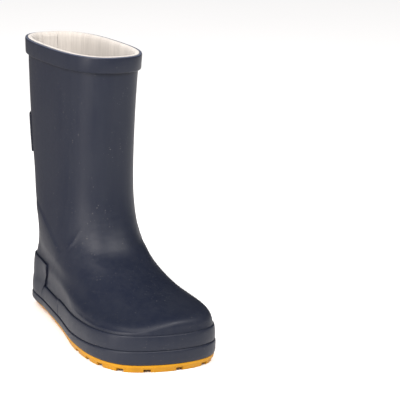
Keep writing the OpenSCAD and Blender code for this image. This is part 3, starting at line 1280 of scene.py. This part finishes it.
@dataclass
class Outsole:
    """The coloured outsole with its tread.

    Attributes:
        form: The boot's form.
        around: Points round the sole.
        tread: Height up to which the side of the tread leans in.
        groove: Depth of the grooves and notches.
        grooves: Rows of equal grooves: their x, their y, and the length and width of each.
        notches: Places of the notches in the edge, in steps round the sole.
        notch_w: Width of a notch.
        notch_l: How long the block is that cuts one.
        notch_in: How far inside the edge that block is centred.
        tuck: How much further in the tread lies at the heel.
        rounding: Width of the rounding of every edge.
    """

    form: BootForm
    around: int = FINE
    tread: float = 3.0
    groove: float = 2.6
    grooves: tuple = (((15, 37, 60, 81), (0,), 4.5, 120), ((38.5,), (-0.25,), 29, 4.5),
                      ((104, 122, 140, 158, 176), (-2,), 4.5, 56),
                      ((141.5,), (-14.75, 11.25), 89, 4.5))
    notches: tuple = (12.4, 14, 15.5, 17.5, 19.5, 21.7, 23.8, 25.7, 27.4, 29, 30.5)
    notch_w: float = 5.5
    notch_l: float = 11.0
    notch_in: float = 3.5
    tuck: float = 3.6
    rounding: float = 0.3

    def block(self, bm: bmesh.types.BMesh, centre: Vector, length: float, width: float,
              turn: float = 0.0) -> None:
        """Adds one block to the groove cutter.

        Args:
            bm: The cutter's mesh.
            centre: Middle of the block, in the pattern frame.
            length: Size along the boot before the block is turned.
            width: Size across it.
            turn: Turn about the vertical, in radians.
        """
        at = Matrix.Translation(self.form.row(centre)) @ Matrix.Rotation(turn, 4, "Z")
        made = bmesh.ops.create_cube(bm, size=1.0)["verts"]
        bmesh.ops.scale(bm, verts=made, vec=Vector((length, width, 2 * self.groove)) * MM)
        bmesh.ops.transform(bm, verts=made, matrix=at)

    def cutter(self) -> bpy.types.Object:
        """The grooves as one mesh of blocks."""
        bm = bmesh.new()
        for xs, ys, length, width in self.grooves:
            for x, y in itertools.product(xs, ys):
                self.block(bm, Vector((x, y, 0)), length, width)
        for k in self.notches:  # three steps to each point of the outline
            at, ahead, behind = (Vector((*self.form.sole_point(k / 3 + step), 0))
                                 for step in (0, 0.15, -0.15))
            run = (ahead - behind).normalized()
            inwards = Vector((-run.y, run.x, 0))
            self.block(bm, at + inwards * self.notch_in, self.notch_w, self.notch_l,
                       math.atan2(run.y, run.x))
        return finish_mesh("groove_cutter", bm)

    def blank(self) -> bpy.types.Object:
        """The outsole before its grooves are cut."""
        top = self.form.outsole_z
        profile = [(0.0, 3.0, 1.0), (0.35, 2.5, 1.0), (self.tread - 0.5, 1.9, 0.75),
                   (self.tread + 0.6, 1.05, 0.5), (top - 0.7, 0.85, 0.3), (top - 0.2, 0.95, 0.3),
                   (top, 1.3, 0.3)]
        rows = [self.form.edge(z, depth, self.around, self.tuck * share)
                for z, depth, share in profile]
        bm = loft(self.form, rows, around=True, across=False)
        close_ends(bm, (0.0, top * MM))
        return finish_mesh("outsole_tread", bm)

    def build(self, finishes: Finishes) -> list[bpy.types.Object]:
        """Builds and dresses the outsole.

        Args:
            finishes: Every finish.

        Returns:
            The finished pieces.
        """
        sole, tool = self.blank(), self.cutter()
        cut = sole.modifiers.new("grooves", "BOOLEAN")
        cut.operation, cut.solver, cut.object = "DIFFERENCE", "EXACT", tool
        cut.use_self = True
        graph = bpy.context.evaluated_depsgraph_get()
        sole.data = bpy.data.meshes.new_from_object(sole.evaluated_get(graph))
        sole.modifiers.clear()
        bpy.data.objects.remove(tool)
        bm = bmesh.new()
        bm.from_mesh(sole.data)
        soften(bm, 55, self.rounding, 2)
        bm.to_mesh(sole.data)
        bm.free()
        sole.data.set_sharp_from_angle(angle=math.radians(35))
        dress(sole, finishes.sole)
        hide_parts("outsole")
        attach(sole, Body.FOOT.value)
        return [sole]


@dataclass
class Footbed:
    """The cloth-covered footbed inside."""

    form: BootForm
    around: int = PLAIN

    def build(self, finishes: Finishes) -> list[bpy.types.Object]:
        """Builds and dresses the footbed cover.

        Args:
            finishes: Every finish.

        Returns:
            The finished pieces.
        """
        low, top = (corner.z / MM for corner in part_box("footbed_cover"))
        dome = top + 0.1
        loops = []
        for z, depth in ((low, 4.5), (top - 0.5, 4.5), (top - 0.1, 4.8), (top, 5.4), (top, 7.2),
                         (top - 0.2, 7.8), (top, 8.4), (dome, 9.2)):
            loops.append([Vector((p.x, p.y, z)) for p in self.form.ring(1, depth, self.around)])
        bm = loft(self.form, loops, around=True, across=False)
        close_ends(bm, (low * MM, dome * MM))
        layer = bm.loops.layers.uv["Cut"]
        for face in bm.faces:
            for corner in face.loops:
                corner[layer].uv = corner.vert.co.xy
        cover = finish_mesh("footbed_cloth", bm)
        dress(cover, finishes.footbed)
        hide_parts("footbed_cover")
        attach(cover, Body.FOOT.value)
        return [cover]


class HiddenLayers:
    """The stiffeners, boards and fillings, which keep their CAD shape."""

    def dress(self, finishes: Finishes) -> list[bpy.types.Object]:
        """Gives each hidden node its finish.

        Args:
            finishes: Every finish.

        Returns:
            The nodes that got one.
        """
        dressed = []
        for part in frame["record"]["subparts"]:
            material = finishes.inner.get(part["material_slot"])
            if material:
                dressed.append(frame["nodes"][part["node"]])
                dressed[-1].data.materials.clear()
                dressed[-1].data.materials.append(material)
        return dressed


# ---------------------------------------------------------------- studio


@dataclass(frozen=True)
class SoftBox:
    """A soft light.

    Attributes:
        name: Name of the light.
        place: Where it stands, in metres.
        aim: What it points at.
        size: Width and height, in metres.
        power: Watts.
        colour: Tint of the light.
    """

    name: str
    place: tuple
    aim: tuple
    size: tuple
    power: float
    colour: tuple

    def hang(self) -> None:
        """Adds the light to the scene."""
        data = bpy.data.lights.new(self.name, "AREA")
        data.shape = "RECTANGLE"
        data.size, data.size_y = self.size
        data.energy = self.power
        data.color = self.colour
        lamp = bpy.data.objects.new(self.name, data)
        lamp.location = self.place
        lamp.rotation_euler = (Vector(self.aim) - Vector(self.place)).to_track_quat(
            "-Z", "Y").to_euler()
        bpy.context.scene.collection.objects.link(lamp)


@dataclass
class Studio:
    """Floor, light and camera.

    Attributes:
        azimuth: Turn of the camera from the toe to the outer side, in degrees.
        elevation: Height of the camera above level, in degrees.
        distance: From the target, in metres.
        target: What the camera aims at, in the pattern frame.
        roll: Tilt of the camera, in degrees.
        lens: Focal length, in millimetres.
        shift: Shift of the lens, sideways and up.
        fill: Strength of the sky as light.
        mirrored: Strength of the sky in reflections.
        lamps: The soft boxes.
    """

    azimuth: float = 30.13
    elevation: float = 13.62
    distance: float = 1.5998
    target: tuple = (60.0, 98.91, 86.36)
    roll: float = 1.75
    lens: float = 182.77
    shift: tuple = (0.00325, -0.0077)
    fill: float = 0.92
    mirrored: float = 0.06
    lamps: tuple = (
        SoftBox("strip_box", (0.12, -1.5, 0.3), (-0.05, 0, 0.14), (0.1, 0.7), 10.5,
                (1.0, 0.95, 0.92)),
        SoftBox("side_box", (-1.4, -1.1, 0.35), (0, 0, 0.1), (0.5, 0.7), 1.0,
                (1.0, 0.88, 0.87)),
        SoftBox("key_box", (0.55, -0.95, 1.0), (0, 0, 0.1), (0.4, 0.9), 22,
                (1.0, 0.95, 0.92)),
        SoftBox("top_box", (1.0, 0.3, 1.25), (0.05, 0, 0.03), (1.2, 0.35), 22,
                (1.0, 0.97, 0.95)))

    def floor(self) -> None:
        """Lays the white floor."""
        bm = bmesh.new()
        bmesh.ops.create_grid(bm, x_segments=8, y_segments=8, size=6)
        paper = finish_mesh("studio_floor", bm)
        paper.data.materials.append(StudioPaper().make())

    def sky(self) -> None:
        """White to look at, a little dimmer as light and nearly dark in reflections."""
        kit = Bench(bpy.data.worlds.new("studio"))
        bpy.context.scene.world = kit.made
        rays = kit.node("ShaderNodeLightPath", {}, {})

        def glow(strength: float) -> Wire:
            """A white background of one strength."""
            return kit.node("ShaderNodeBackground", {},
                            {"Color": (1, 1, 1), "Strength": strength})[0]

        light = glow(self.fill)
        for ray, strength in ((Ray.GLOSSY, self.mirrored), (Ray.CAMERA, 1.0)):
            light = kit.node("ShaderNodeMixShader", {},
                             {0: rays[ray.value], 1: light, 2: glow(strength)})[0]
        kit.put(kit.tree.nodes["World Output"].inputs["Surface"], light)

    def camera(self, form: BootForm) -> None:
        """Places the camera.

        Args:
            form: The boot's form.
        """
        a, e = math.radians(self.azimuth), math.radians(self.elevation)
        out = Vector((math.cos(a) * math.cos(e), -math.sin(a) * math.cos(e), math.sin(e)))
        spot = form.row(Vector(self.target)) + out * self.distance
        right = Vector((0, 0, 1)).cross(out).normalized()
        up = out.cross(right)
        r = math.radians(self.roll)
        right, up = (right * math.cos(r) + up * math.sin(r),
                     up * math.cos(r) - right * math.sin(r))
        data = bpy.data.cameras.new("camera")
        data.lens, data.sensor_width = self.lens, 36.0
        data.shift_x, data.shift_y = self.shift
        data.clip_end = 50
        camera = bpy.data.objects.new("camera", data)
        camera.matrix_world = Matrix.Translation(spot) @ Matrix(
            (right, up, out)).transposed().to_4x4()
        bpy.context.scene.collection.objects.link(camera)
        bpy.context.scene.camera = camera

    def build(self, form: BootForm) -> None:
        """Sets the scene up.

        Args:
            form: The boot's form.
        """
        self.floor()
        self.sky()
        for box in self.lamps:
            box.hang()
        bpy.context.scene.view_settings.view_transform = "Standard"
        self.camera(form)


def main() -> None:
    """Builds the boot and its studio."""
    logging.basicConfig(level=logging.INFO, format="%(name)s: %(message)s")
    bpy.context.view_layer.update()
    form = BootForm()
    finishes = Finishes()
    Studio().build(form)
    for maker in (Outsole(form), SoleBands(form), Upper(form), HeelPanel(form),
                  BackPatch(form), Collar(form), Lining(form), Footbed(form)):
        for piece in maker.build(finishes):
            LOG.info("%s: %s, %d faces", type(maker).__name__, piece.name,
                     len(piece.data.polygons))
    for node in HiddenLayers().dress(finishes):
        LOG.info("inside: %s", node.name)


if __name__ == "__main__":
    main()
